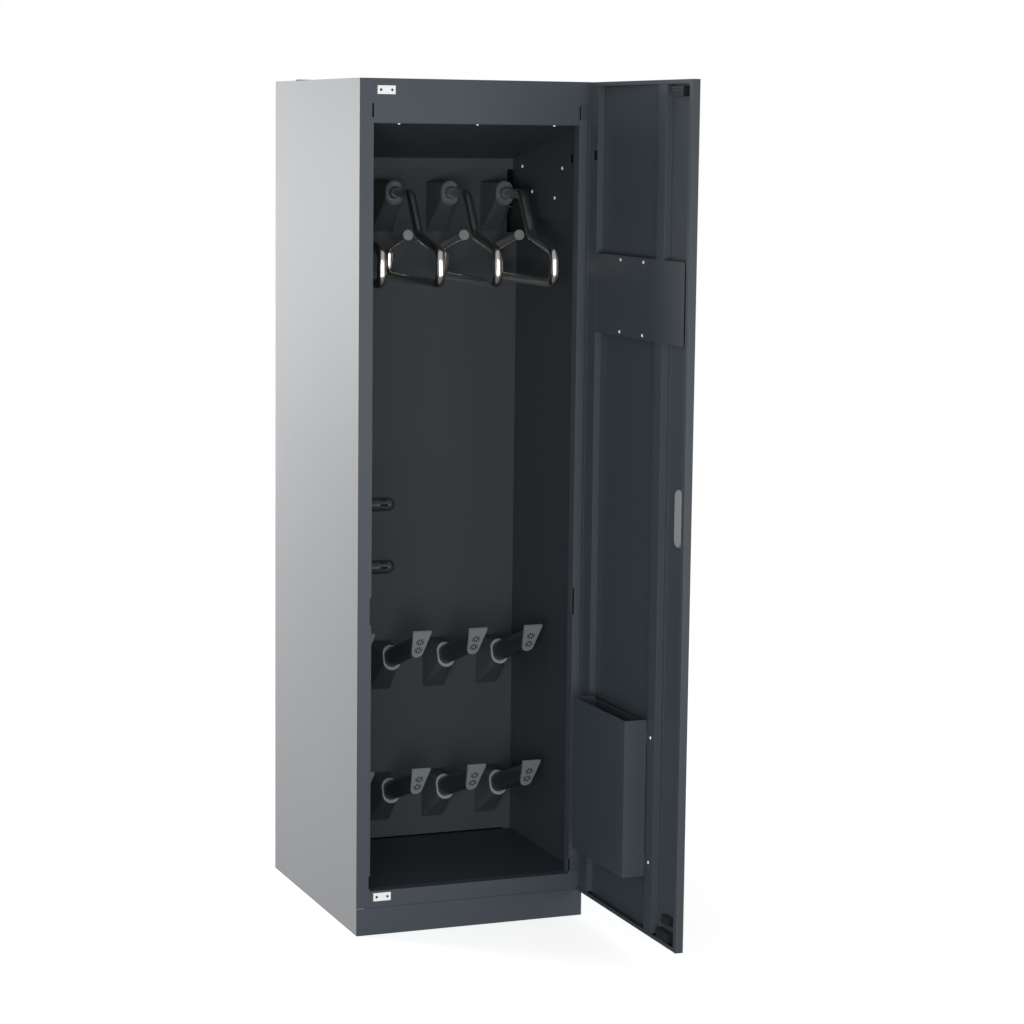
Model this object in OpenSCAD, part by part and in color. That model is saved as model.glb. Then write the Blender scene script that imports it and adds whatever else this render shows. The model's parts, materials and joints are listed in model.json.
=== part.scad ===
// Drying cabinet for work clothes, boots and gloves, shown with its door open.
// Millimetres. +X is to the right of the cabinet, +Y to its back, +Z up.
// The origin is on the floor, in the middle of the cabinet's own footprint.

/* [Cabinet body] */
// Width of the cabinet over its side panels
cab_w = 560; // [540:1:640]
// Depth of the cabinet from its front frame to its rear panel
cab_d = 645; // [620:1:720]
// Height of the cabinet
cab_h = 1950; // [1900:1:2050]
// Thickness of the sheet steel of panels and covers
sheet = 1.2; // [0.8:0.1:2]
// Width of the folded edges that stiffen the side panels
fold_w = 20; // [12:1:30]

/* [Front frame] */
// Width of the two upright stiles beside the opening
stile_w = 33; // [28:1:45]
// Depth of the folded return behind the stiles and rails
return_d = 30; // [20:1:40]
// Thickness of the steel of the front frame
frame_t = 1.5; // [1.2:0.1:2.5]
// Height of the plinth at the floor
plinth_h = 64; // [50:1:90]
// How far the plinth stands proud of the front frame
plinth_proud = 1.5; // [0.5:0.1:3]
// Height of the lower rail between the plinth and the opening
rail_h = 39; // [34:1:60]
// Height of the fascia over the opening
fascia_h = 98; // [90:1:130]

/* [Cabin] */
// Depth of the space for the air and the blower behind the back panel
plenum_d = 183; // [181:1:200]
// How far the ceiling falls from front to back
ceiling_fall = 80; // [40:1:90]
// Height of the ledge that carries the ceiling at the back
ledge_h = 26; // [20:1:40]
// Height of the panel that carries the hanger ducts
duct_panel_h = 152; // [140:1:170]
// Gap at each side of the panel that carries the hanger ducts
duct_panel_side = 27; // [20:1:32]
// Gap round the edges of the lower back panel
panel_gap = 3; // [2:0.5:6]
// How far the upper side covers stand off the side panels
cover_off = 14; // [10:0.5:20]
// Height of the upper side covers under the end of the ceiling
cover_drop = 141; // [120:1:160]

/* [Columns of hangers and shoe holders] */
// Distance between the columns
col_pitch = 140; // [134:1:144]
// Width of an air duct at the back panel
duct_w = 54; // [50:1:60]
// Width of the oval mouth of an air duct
mouth_w = 43; // [41:1:46]
// How far the hanger ducts stand out of the back panel
hanger_duct_d = 88; // [80:1:100]
// Height of the middle of the hanger ducts' mouths over the duct panel's lower edge
hanger_up = 96; // [90:1:100]
// Height of the oval mouth of a hanger duct
hanger_mouth_h = 58; // [54:1:62]
// Thickness of the oval bezel in the mouth of a hanger duct
bezel_t = 6; // [4:0.5:10]

/* [Hangers] */
// Diameter of the tube that a hanger is bent from
hanger_dia = 23; // [21:0.5:24]
// Wall of the hanger's tube
tube_wall = 1.5; // [1:0.1:2.5]
// Length of the neck inside its duct, which is how far a hanger pulls out
neck_grip = 30; // [20:1:40]
// Radius of the neck's bend on its middle line
neck_bend = 26; // [24:1:30]
// Distance from the neck's bend forward to the middle of the loop
neck_corner = 26; // [20:1:32]
// Downward turn of the neck in degrees
neck_fall = 57.4796; // [57:0.0001:64]
// Distance from the front frame back to the loop's front end
loop_front_room = 47.5; // [44:0.5:52]
// Distance from the loop's rear end back to the back panel
loop_back_room = 54.5; // [50:0.5:60]
// Height of the loop's ends
loop_end_h = 71; // [66:1:90]
// Upward slope of the loop's shoulders in degrees
loop_slope = 13; // [10:1:16]
// Depth of the loop's lower bar under the neck
loop_fall = 198.6; // [190:0.1:210]
// Radius of the loop's bends on their middle line
loop_bend = 24; // [22:1:27]
// Distance of the tube's free end behind the middle of the loop
free_end = 45; // [40:1:50]
// Diameter of the plug's round flange on the free end
cap_dia = 25; // [24:0.5:28]
// Thickness of the plug's flange
cap_t = 3.5; // [3:0.5:6]
// Clearance of the neck in its bezel, on the radius
neck_fit = 0.06; // [0.03:0.01:0.1]

/* [Shoe holders] */
// Height of the upper row of shoe holders at their rings
upper_row_z = 571; // [540:1:620]
// Height of the lower row of shoe holders at their rings
lower_row_z = 242; // [225:1:270]
// How far the shoe ducts stand out of the back panel
shoe_duct_d = 86; // [80:1:96]
// Upward slope of the shoe tubes in degrees
tube_rise = 19; // [15:1:23]
// Length of the shoe tubes in front of their rings
tube_len = 212; // [180:1:220]
// Width of a shoe tube
tube_w = 35; // [32:1:36]
// Height of a shoe tube
tube_h = 46; // [42:1:48]
// Height of the trim ring at the foot of a shoe tube
ring_h = 62; // [60:1:66]
// Thickness of the trim ring
ring_t = 7; // [5:0.5:10]
// Width of the heel plate at its upper edge
heel_w = 46; // [42:1:52]
// Length of the heel plate
heel_len = 79; // [74:1:86]
// Forward lean of the heel plate in degrees
heel_lean = 32; // [24:1:38]
// Thickness of the heel plate
heel_t = 6; // [4:0.5:8]

/* [Glove nozzles] */
// Height of the upper glove nozzle
glove_z = 985; // [940:1:1040]
// Distance between the two glove nozzles
glove_pitch = 145; // [130:1:170]
// Diameter of a glove nozzle
glove_dia = 32; // [26:1:40]
// Length of a glove nozzle
glove_len = 120; // [90:1:150]
// Distance of the glove nozzles behind the front frame
glove_y = 100; // [80:1:140]

/* [Door] */
// Thickness of the door
door_t = 18; // [17:0.5:22]
// Gap between the closed door and the front frame
door_gap = 3; // [3:0.5:5]
// Gap at the sides of the closed door, measured inside the cabinet's width
door_side = 2; // [1.5:0.5:4]
// Height of the door's lower edge over the floor
door_low = 66; // [65:1:90]
// Angle at which the door stands open here, in degrees
door_open = 90; // [60:1:100]
// Width of the return that the door's edge folds to at the latch side
latch_return = 14; // [10:1:16]
// Width of the door's other folded returns
door_return = 9; // [7:1:9]
// Width of the box section along the hinges
hinge_box_w = 57; // [50:1:64]
// Width of the hat section near the latch edge
hat_w = 42; // [34:1:50]
// Distance from the latch edge to the hat section
hat_in = 131; // [120:1:140]
// Height of the cover plate across the door
cover_h = 180; // [160:1:200]
// Height of the cover plate's lower edge over the floor
cover_z = 1386; // [1340:1:1420]
// Distance from the latch edge to the cover plate
cover_in = 22; // [20:1:30]

/* [Door fittings] */
// Depth of the document pocket
pocket_d = 52; // [40:1:60]
// Height of the document pocket
pocket_h = 355; // [300:1:380]
// Height of the pocket's floor over the floor
pocket_z = 195; // [180:1:220]
// Distance from the hinge edge to the pocket's near wall
pocket_at = 93; // [80:1:110]
// Length of a magnetic catch
catch_len = 59; // [50:1:64]
// Height of a magnetic catch
catch_h = 21; // [18:1:24]
// Distance from the latch edge to the magnetic catches
catch_in = 47; // [42:1:52]
// Height of the middle of the handle over the floor
handle_z = 1015; // [980:1:1050]
// Length of the handle's rear shell
shell_len = 126; // [110:1:140]
// Width of the handle's rear shell
shell_w = 34; // [30:1:38]
// Distance from the latch edge to the middle of the handle
handle_in = 47; // [44:1:56]
// Diameter of the timer knob
knob_dia = 42; // [34:1:50]
// Diameter of the start button
button_dia = 18; // [14:1:22]
// Travel of the start button
button_travel = 2; // [1:0.1:2.5]

/* [Hinges] */
// Distance of the hinge axis in front of the frame
axis_front = 16; // [15.5:0.5:18]
// Distance of the hinge axis inside the cabinet's right side
axis_in = 5; // [5:0.5:7]
// Diameter of the hinge knuckles
knuckle_dia = 7; // [6.5:0.5:7]
// Diameter of the hinge pins
pin_dia = 4.5; // [4:0.5:4.5]
// Length of one hinge knuckle
knuckle_len = 36; // [30:1:40]
// Distance from each end of the door to its hinge
hinge_inset = 12; // [8:1:30]
// Clearance of the pins in the frame's knuckles, on the radius
pin_fit = 0.06; // [0.03:0.01:0.1]

/* [Blower and heater] */
// Radius of the blower's drum
drum_r = 122; // [110:1:126]
// Width of the blower's drum
drum_w = 84; // [74:1:90]
// Radius of the impeller
wheel_r = 98; // [88:1:100]
// Number of blades on the impeller
blades = 24; // [16:1:36]
// Diameter of the blower's shaft
shaft_dia = 10; // [8:1:12]
// Diameter of the blower's motor
motor_dia = 92; // [80:1:100]
// Length of the blower's motor
motor_len = 44; // [36:1:46]

/* [Hidden] */
$fn = 64;

// colours as the object shows them
dark = [0.25, 0.28, 0.31];
pale = [0.72, 0.72, 0.72];
white = [0.95, 0.95, 0.95];
black = [0.06, 0.06, 0.07];
light = [0.62, 0.64, 0.65];
zinc = [0.75, 0.76, 0.78];

// edges of the cabinet
left = -cab_w / 2;
right = cab_w / 2;
front = -cab_d / 2;
rear = cab_d / 2;
bite = 0.5;

// heights in the cabinet
sill = plinth_h + rail_h;
head = cab_h - fascia_h;
floor_top = sill - frame_t;
roof_under = cab_h - sheet;
back_at = rear - plenum_d;
ceiling_back = head - ceiling_fall;
ledge_low = ceiling_back - ledge_h;
duct_panel_low = ledge_low - duct_panel_h;
duct_panel_top = ceiling_back - 8;
cover_low = ceiling_back - cover_drop;
hanger_z = duct_panel_low + hanger_up;
cover_face = right - cover_off;
ceiling_start = front + return_d;
ledge_front = back_at - frame_t;
ledge_top_d = fold_w;

// columns
cols = [for (i = [0 : 3]) (i - 1.5) * col_pitch];
mouth_y = back_at - hanger_duct_d;
bezel_front = mouth_y - bezel_t;
shoe_ring_y = back_at - shoe_duct_d;
row_z = [upper_row_z, lower_row_z];

// hanger: one bent tube, drawn from the middle of the loop's lower bar
loop_w = back_at - front - loop_front_room - loop_back_room;
loop_y = front + loop_front_room + loop_w / 2;
loop_low = hanger_z - loop_fall;
peak_h = loop_end_h + loop_w / 2 * tan(loop_slope);
neck_level = bezel_front - loop_y - neck_corner + neck_grip - neck_bend * tan(neck_fall / 2);
// the elbow where the neck's fall turns into the front shoulder
elbow_u = (loop_fall - neck_corner * tan(neck_fall) - peak_h) / (tan(loop_slope) - tan(neck_fall));
elbow_v = peak_h + elbow_u * tan(loop_slope);
neck_down = (loop_fall - elbow_v) / sin(neck_fall) - neck_bend * tan(neck_fall / 2);
half_low = loop_w / 2 - loop_bend;
shoulder_cut = loop_bend * tan((90 - loop_slope) / 2);
half_joint = 0.1;
cap_fit = 0.05;
end_run = loop_end_h - loop_bend - shoulder_cut - half_joint;
shoulder_run = loop_w / 2 / cos(loop_slope) - shoulder_cut;
outlet_dia = 5;
outlet_count = 7;

// door in its closed place: u runs from the hinge edge towards the latch edge
door_right = right - door_side;
door_left = left + door_side;
door_inner = front - door_gap;
door_outer = door_inner - door_t;
door_top = cab_h - 1;
door_skin_in = door_outer + sheet;
stiff_face = door_inner - sheet;
handle_x = door_left + handle_in;
hat_far = door_left + hat_in;
hat_near = hat_far + hat_w;
cup_hole_w = shell_w - 6;
cup_hole_len = shell_len - 6;
hinge_x = right - axis_in;
hinge_y = front - axis_front;
notch_w = axis_in - door_side + knuckle_dia / 2 + 2;
knuckle_gap = 0.5;
leaf_t = 2;
hinge_low_z = door_low + hinge_inset - 6;
hinge_high_z = door_top - hinge_inset;
hinge_spans = [[hinge_low_z, hinge_low_z + knuckle_len],
    [hinge_high_z - knuckle_len, hinge_high_z]];
frame_spans = [[hinge_spans[0][1] + knuckle_gap, hinge_spans[0][1] + knuckle_gap + knuckle_len],
    [hinge_spans[1][0] - knuckle_gap - knuckle_len, hinge_spans[1][0] - knuckle_gap]];
pin_over = 2;

// control panel on the outside of the door
control_z = cover_z + cover_h / 2;
bezel_w = 230;
bezel_h = 110;
control_plate_t = 3;
hat_foot = 12;
module_gap = 3;
module_rim = 28;
module_d = 12;
module_h = 100;
control_x = (door_left + door_right) / 2;
knob_x = control_x - 66;
button_x = control_x + 72;
button_z = control_z - 26;
knob_shaft = 3;
knob_h = 18;
running = 0.08;

// blower and heater
drum_x = 0;
drum_under_roof = 150;
drum_z = cab_h - drum_under_roof;
drum_front = back_at + 34;
drum_back = drum_front + drum_w;
shelf_z = drum_z - drum_r - 22;
outlet_w = 150;
heater_h = 62;
shaft_fit = 0.06;
wall_t = 1.5;

// ---------- helpers ----------

module block(x0, x1, y0, y1, z0, z1) {
    translate([x0, y0, z0]) cube([x1 - x0, y1 - y0, z1 - z0]);
}

// a plate whose outline lies in the Y-Z plane, from x0 to x1
module side_profile(points, x0, x1) {
    translate([x0, 0, 0]) rotate([90, 0, 90]) linear_extrude(x1 - x0) polygon(points);
}

// points of an upright oval with straight sides
function oval(w, h, n = 12) = concat(
    [for (i = [0 : n]) [w / 2 * cos(i * 180 / n), (h - w) / 2 + w / 2 * sin(i * 180 / n)]],
    [for (i = [0 : n]) [-w / 2 * cos(i * 180 / n), -(h - w) / 2 - w / 2 * sin(i * 180 / n)]]);

// true oval with round ends, standing in the X-Y plane
module stadium(w, h) {
    union() {
        square([w, h - w], center = true);
        translate([0, (h - w) / 2]) circle(d = w);
        translate([0, -(h - w) / 2]) circle(d = w);
    }
}

// turns the drawing plane so that it faces the cabinet's front, tilted up by a slope
module facing(x, y, z, slope = 0) {
    translate([x, y, z]) rotate([90 - slope, 0, 0]) children();
}

// a straight tube along X, with what follows placed at its end
module run(len, r) {
    rotate([0, 90, 0]) cylinder(r = r, h = len);
    translate([len, 0, 0]) children();
}

// a bend that turns left, with what follows placed at its end
module bend(turn, bend_r, r) {
    translate([0, bend_r, 0]) rotate([0, 0, -90]) rotate_extrude(angle = turn)
        translate([bend_r, 0]) circle(r = r);
    translate([0, bend_r, 0]) rotate([0, 0, turn]) translate([0, -bend_r, 0]) children();
}

// places its children on the door in its closed position, then swings the door open
module on_door() {
    translate([hinge_x, hinge_y, 0]) rotate([0, 0, door_open])
        translate([-hinge_x, -hinge_y, 0]) children();
}

// ---------- cabinet shell ----------

module side_panel(side) {
    mirror([side > 0 ? 0 : 1, 0, 0]) {
        block(right - sheet, right, front + frame_t, rear, 0, cab_h);
        // folded edges at the back, the floor and under the roof
        block(right - fold_w, right - bite, rear - 2 * sheet, rear - sheet, 0, roof_under);
        block(right - fold_w, right - bite, front + frame_t, rear - sheet, 0, sheet);
        block(right - fold_w, right - bite, front + frame_t, rear - sheet,
            roof_under - sheet, roof_under);
        // strip that carries the back panel
        block(right - fold_w, right - bite, back_at + sheet, back_at + 2 * sheet,
            sheet, duct_panel_low);
    }
}

module side_panel_left() { color(pale) side_panel(-1); }
module side_panel_right() { color(pale) side_panel(1); }

module rear_panel() {
    slot_h = 5;
    slot_pitch = 14;
    slot_len = 120;
    color(pale) difference() {
        block(left + sheet, right - sheet, rear - sheet, rear, 0, roof_under);
        for (sx = [-1, 1])
            for (i = [0 : 7])
                block(sx * 120 - slot_len / 2, sx * 120 + slot_len / 2, rear - 5, rear + 5,
                    roof_under - 60 - i * slot_pitch, roof_under - 60 + slot_h - i * slot_pitch);
    }
}

// intake slots in the roof, over the filter
intake_side = 70;
intake_front = 60;
intake_size = 180;
intake_x = [left + intake_side, left + intake_side + intake_size];
intake_y = [front + intake_front, front + intake_front + intake_size];
inlet_at = [left + 62, rear - 34];
inlet_size = [34, 26];
gland_at = [left + 98, rear - 34];
gland_hole_r = 5.5;

module roof_panel() {
    slots = 12;
    step = (intake_y[1] - intake_y[0]) / slots;
    color(dark) difference() {
        block(left + sheet, right - sheet, front + frame_t, rear - sheet, roof_under, cab_h);
        for (i = [0 : slots - 1])
            block(intake_x[0] + 10, intake_x[1] - 10, intake_y[0] + (i + 0.3) * step,
                intake_y[0] + (i + 0.7) * step, roof_under - 1, cab_h + 1);
        block(inlet_at[0] - inlet_size[0] / 2 + 3, inlet_at[0] + inlet_size[0] / 2 - 3,
            inlet_at[1] - inlet_size[1] / 2 + 3, inlet_at[1] + inlet_size[1] / 2 - 3,
            roof_under - 1, cab_h + 1);
        translate([gland_at[0], gland_at[1], roof_under - 1]) cylinder(r = gland_hole_r, h = sheet + 2);
    }
}

// room that the tray leaves for the stiles' folded edges
stile_room = 0.5;

module floor_tray() {
    fold_from = front + return_d + stile_room;
    color(dark) difference() {
        union() {
            block(left + sheet, right - sheet, front + frame_t, back_at, floor_top - sheet, floor_top);
            for (sx = [-1, 1])
                translate([sx * (right - 1.5 * sheet), 0, 0])
                    block(-sheet / 2, sheet / 2, fold_from, back_at, floor_top - fold_w, floor_top - bite);
            block(left + sheet, right - sheet, back_at - sheet, back_at,
                floor_top - fold_w, floor_top - bite);
        }
        for (m = [0, 1])
            mirror([m, 0, 0]) block(right - stile_w - stile_room, right, front, fold_from,
                floor_top - fold_w, floor_top + sheet);
    }
}

// folded cross member that carries the floor tray and stands on the floor
brace_w = 60;

module base_brace() {
    half = right - fold_w;
    top = floor_top - sheet;
    color(dark) union() {
        block(-half, half, -brace_w / 2, brace_w / 2, 0, sheet);
        block(-half, half, -sheet / 2, sheet / 2, 0, top);
        block(-half, half, -sheet / 2, brace_w / 2, top - sheet, top);
    }
}

module plinth() {
    color(dark) union() {
        block(left, right, front - plinth_proud, front, 0, plinth_h);
        block(left + fold_w + 1, right - fold_w - 1, front - bite, front + return_d,
            plinth_h - frame_t, plinth_h);
        block(left + fold_w + 1, right - fold_w - 1, front - bite, front + return_d, 0, frame_t);
    }
}

// heights of the slots that let the door hang on either side
keeper_h = 62;
keeper_z = 723;

module stile(side) {
    mirror([side > 0 ? 0 : 1, 0, 0]) difference() {
        union() {
            block(right - stile_w, right, front, front + frame_t, plinth_h, cab_h);
            block(right - stile_w, right - stile_w + frame_t, front + bite, front + return_d,
                plinth_h, roof_under - sheet);
            block(right - stile_w + bite, right - fold_w - 1, front + return_d - frame_t,
                front + return_d, plinth_h, roof_under - sheet);
            block(right - sheet - frame_t, right - sheet, front + bite, front + fold_w,
                plinth_h, roof_under - sheet);
        }
        // slots for the hinges of a door hung on this side, and the keeper slot
        for (z = [for (s = frame_spans) s[0]])
            block(right - stile_w - 1, right - stile_w + 4, front - 1, front + 8, z, z + knuckle_len - 6);
        block(right - stile_w - 1, right - stile_w + 4, front - 1, front + 8,
            keeper_z, keeper_z + keeper_h);
    }
}

module stile_left() { color(dark) stile(-1); }
module stile_right() { color(dark) stile(1); }

module fascia() {
    color(dark) union() {
        block(left + stile_w, right - stile_w, front, front + frame_t, head, cab_h);
        block(left + stile_w, right - stile_w, front + bite, front + return_d, head, head + frame_t);
        block(left + stile_w, right - stile_w, front + bite, front + return_d,
            roof_under - sheet, roof_under);
        block(left + stile_w, right - stile_w, front + return_d - frame_t, front + return_d,
            head + bite, head + 14);
    }
}

module bottom_rail() {
    color(dark) union() {
        block(left + stile_w, right - stile_w, front, front + frame_t, plinth_h, sill);
        block(left + stile_w, right - stile_w, front + bite, front + return_d, sill - frame_t, sill);
        block(left + stile_w, right - stile_w, front + bite, front + return_d,
            plinth_h, plinth_h + frame_t);
    }
}

// ---------- cabin ----------

function ceiling_under(y) = head - sheet
    - (head - sheet - ceiling_back) * (y - ceiling_start) / (ledge_front - ceiling_start);

module ceiling_panel() {
    // behind the stiles it widens to reach both side panels
    wide_from = ceiling_start + 1;
    wide_under = ceiling_under(wide_from);
    color(dark) union() {
        side_profile([
            [front + frame_t + bite, head], [front + frame_t + bite, head - sheet],
            [ceiling_start, head - sheet], [ledge_front, ceiling_back],
            [ledge_front + ledge_top_d, ceiling_back], [ledge_front + ledge_top_d, ceiling_back + sheet],
            [ledge_front, ceiling_back + sheet], [ceiling_start, head]],
            left + stile_w, right - stile_w);
        side_profile([
            [wide_from, wide_under], [ledge_front, ceiling_back],
            [ledge_front, ceiling_back + sheet], [wide_from, wide_under + sheet]],
            left + sheet + 0.3, right - sheet - 0.3);
    }
}

// rivets of a cover plate: share of the cabin's depth, and depth under the ceiling's back
rivet_spots = [for (p = [[0.8593, 18], [0.316, 19], [0.7186, 77], [0.4113, 89]])
    [p[0] * (back_at - front), p[1]]];

module cover_plate(side) {
    near = front + return_d + 2;
    far = ledge_front;
    slot_at = 88;
    slot_w = 19;
    slot_h = 21;
    mirror([side > 0 ? 0 : 1, 0, 0]) difference() {
        union() {
            side_profile([[near, cover_low], [far, cover_low], [far, ceiling_under(far) - 0.3],
                [near, ceiling_under(near) - 0.3]], cover_face, cover_face + sheet);
            block(cover_face + bite, right - sheet, near, far, cover_low, cover_low + sheet);
            side_profile([[near, cover_low + bite], [near + sheet, cover_low + bite],
                [near + sheet, ceiling_under(near + sheet) - 1], [near, ceiling_under(near) - 1]],
                cover_face + bite, right - sheet);
        }
        block(cover_face - 1, cover_face + sheet + 1, front + slot_at - slot_w / 2,
            front + slot_at + slot_w / 2, ceiling_back - 6, ceiling_back - 6 + slot_h);
        for (p = rivet_spots)
            translate([cover_face - 1, front + p[0], ceiling_back - p[1]])
                rotate([0, 90, 0]) cylinder(r = 2, h = sheet + 2);
    }
}

module cover_plate_left() { color(dark) cover_plate(-1); }
module cover_plate_right() { color(dark) cover_plate(1); }

module back_ledge() {
    color(dark) union() {
        block(left + sheet, right - sheet, ledge_front, back_at, ledge_low, ceiling_back);
        block(left + sheet, right - sheet, ledge_front, ledge_front + ledge_top_d,
            ceiling_back - frame_t, ceiling_back);
    }
}

module duct_panel() {
    color(dark) difference() {
        block(left + duct_panel_side, right - duct_panel_side, back_at, back_at + sheet,
            duct_panel_low, duct_panel_top);
        for (x = cols)
            block(x - duct_w / 2 + 8, x + duct_w / 2 - 8, back_at - 1, back_at + sheet + 1,
                duct_panel_low + 16, hanger_z + hanger_mouth_h / 2 - 8);
    }
}

module back_panel() {
    color(dark) difference() {
        block(left + panel_gap, right - panel_gap, back_at, back_at + sheet,
            floor_top + panel_gap, duct_panel_low);
        for (x = cols)
            for (z = row_z)
                block(x - duct_w / 2 + 8, x + duct_w / 2 - 8, back_at - 1, back_at + sheet + 1,
                    z - ring_h - 10, z + 16);
    }
}

// a sheet-metal duct that narrows from a rectangle on the back panel to an oval mouth
module duct(w, low, high, mouth_z, depth, mouth_wide, mouth_high, slope) {
    skin = sheet;
    lip = 0.1;
    module shape(inset, reach) {
        hull() {
            block(-w / 2 + inset, w / 2 - inset, back_at - 1, back_at + (inset > 0 ? 1 : 0),
                low + inset, high - inset);
            facing(0, back_at - depth, mouth_z, slope) translate([0, 0, -1])
                linear_extrude(reach) polygon(oval(mouth_wide - 2 * inset, mouth_high - 2 * inset));
        }
    }
    difference() {
        shape(0, 1);
        shape(skin, 0.5);
        facing(0, back_at - depth, mouth_z, slope) translate([0, 0, -0.8]) linear_extrude(3)
            polygon(oval(mouth_wide - 2 * skin - lip, mouth_high - 2 * skin - lip));
    }
}

module hanger_ducts() {
    color(dark) for (x = cols)
        translate([x, 0, 0]) duct(duct_w, duct_panel_low + 2, hanger_z + hanger_mouth_h / 2 - 4,
            hanger_z, hanger_duct_d, mouth_w, hanger_mouth_h, 0);
}

module hanger_bezels() {
    color(light) for (x = cols)
        difference() {
            facing(x, mouth_y, hanger_z) linear_extrude(bezel_t) stadium(mouth_w + 1, hanger_mouth_h + 1);
            facing(x, mouth_y + 1, hanger_z) cylinder(r = hanger_dia / 2 + neck_fit, h = bezel_t + 2);
        }
}

// lower half of a hanger's loop: the bar with both of its upturned ends
module loop_lower(r) {
    for (m = [0, 1])
        mirror([m, 0, 0]) translate([half_low, 0, 0]) bend(90, loop_bend, r) run(end_run, r);
    translate([-half_low, 0, 0]) run(2 * half_low, r);
}

// one sloping shoulder of a hanger's loop with its end bend, from a distance beside the peak
module shoulder(r, from) {
    translate([0, peak_h, 0]) rotate([0, 0, -loop_slope]) mirror([0, 1, 0])
        translate([from, 0, 0]) run(shoulder_run - from, r) bend(90 - loop_slope, loop_bend, r);
}

// all that lies beyond the mitre at the elbow, on the neck's side (0) or the loop's side (1)
module beyond_elbow(side) {
    room = 4 * hanger_dia;
    translate([elbow_u, elbow_v, 0]) rotate([0, 0, (neck_fall + loop_slope) / 2 + 180 * side])
        translate([-half_joint, -room, -room]) cube([room, 2 * room, 2 * room]);
}

// neck that plugs into the duct and comes down to the elbow
module neck(r, extra) {
    translate([neck_corner + neck_level + neck_bend * tan(neck_fall / 2) + extra, loop_fall, 0])
        rotate([0, 0, 180]) run(neck_level + extra, r) bend(neck_fall, neck_bend, r)
        run(neck_down + hanger_dia, r);
}

// places the plane of a hanger's drawing in its column, from the middle of its lower bar
module in_column(i) {
    translate([cols[i], loop_y, loop_low]) rotate([90, 0, 90]) children();
}

module hanger(i) {
    span = 2 * half_low - 20;
    outer = hanger_dia / 2;
    inner = outer - tube_wall;
    free_at = free_end / cos(loop_slope);
    elbow_at = -elbow_u / cos(loop_slope);
    in_column(i) difference() {
        loop_lower(outer);
        loop_lower(inner);
        // outlets along the underside of the loop
        for (k = [0 : outlet_count - 1])
            translate([span * (k / (outlet_count - 1) - 0.5), 0, 0]) rotate([90, 0, 0])
                cylinder(d = outlet_dia, h = hanger_dia);
    }
    in_column(i) difference() {
        shoulder(outer, free_at);
        shoulder(inner, free_at - 1);
    }
    in_column(i) difference() {
        mirror([1, 0, 0]) shoulder(outer, elbow_at - hanger_dia);
        mirror([1, 0, 0]) shoulder(inner, elbow_at - hanger_dia - 1);
        beyond_elbow(0);
    }
    in_column(i) difference() {
        neck(outer, 0);
        neck(inner, 1);
        beyond_elbow(1);
    }
}

module hanger_1() { color(black) hanger(0); }
module hanger_2() { color(black) hanger(1); }
module hanger_3() { color(black) hanger(2); }
module hanger_4() { color(black) hanger(3); }

// plug in the tube's free end: a round flange with a spigot inside the tube
module hanger_cap(i) {
    spigot = 8;
    inner = hanger_dia / 2 - tube_wall;
    in_column(i) translate([0, peak_h, 0]) rotate([0, 0, -loop_slope])
        translate([free_end / cos(loop_slope), 0, 0]) rotate([0, -90, 0]) union() {
            cylinder(d = cap_dia, h = cap_t - 1);
            cylinder(d = cap_dia - 2, h = cap_t);
            translate([0, 0, -spigot]) cylinder(r = inner - cap_fit, h = spigot + 1);
        }
}

module hanger_cap_1() { color(light) hanger_cap(0); }
module hanger_cap_2() { color(light) hanger_cap(1); }
module hanger_cap_3() { color(light) hanger_cap(2); }
module hanger_cap_4() { color(light) hanger_cap(3); }

// ---------- shoe holders ----------

module shoe_ducts() {
    color(dark) for (x = cols)
        for (z = row_z)
            translate([x, 0, 0]) duct(duct_w, z - ring_h - 31, z + ring_h / 2 - 4, z,
                shoe_duct_d, mouth_w - 2, ring_h - 3, tube_rise);
}

module shoe_rings() {
    color(light) for (x = cols)
        for (z = row_z)
            facing(x, shoe_ring_y, z, tube_rise) difference() {
                linear_extrude(ring_t) stadium(mouth_w, ring_h);
                translate([0, 0, -1]) linear_extrude(ring_t + 2)
                    stadium(tube_w + 0.2, tube_h + 0.2);
            }
}

// the plane on the back of a heel plate, which also cuts the shoe tube off
heel_mid_y = shoe_ring_y - tube_len * cos(tube_rise);
heel_mid_up = tube_len * sin(tube_rise);

// places a drawing plane on the back of a heel plate, with its outside to the front
module on_heel(x, z) {
    translate([x, heel_mid_y, z + heel_mid_up]) rotate([90 + heel_lean, 0, 0]) children();
}

module shoe_tubes() {
    wall = 2.5;
    color([0.2, 0.22, 0.24]) for (x = cols)
        for (z = row_z)
            difference() {
                facing(x, shoe_ring_y, z, tube_rise) translate([0, 0, -14]) difference() {
                    linear_extrude(tube_len + 60) stadium(tube_w, tube_h);
                    translate([0, 0, -1]) linear_extrude(tube_len + 62)
                        stadium(tube_w - 2 * wall, tube_h - 2 * wall);
                }
                on_heel(x, z) translate([-tube_w, -3 * tube_h, 0]) cube([2 * tube_w, 6 * tube_h, 4 * tube_h]);
            }
}

// outline of a heel plate: straight upper edge, tapering sides and a round lower end
function heel_outline(w, l, r, n = 12) = concat([[w / 2, l * 0.52], [-w / 2, l * 0.52]],
    [for (i = [0 : n]) [-r * cos(i * 180 / n), -l * 0.48 + r - r * sin(i * 180 / n)]]);

module heel_plates() {
    slot = [2, 7];
    rosette_r = 8;
    color(light) for (x = cols)
        for (z = row_z)
            on_heel(x, z) difference() {
                linear_extrude(heel_t) polygon(heel_outline(heel_w, heel_len, 14));
                for (c = [10, -15])
                    for (k = [0 : 7])
                        translate([0, c, 0]) rotate([0, 0, k * 45 + 22.5])
                            translate([rosette_r * 0.85, 0, heel_t / 2])
                            cube([slot[1] * 0.75, slot[0], heel_t + 2], center = true);
            }
}

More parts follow.
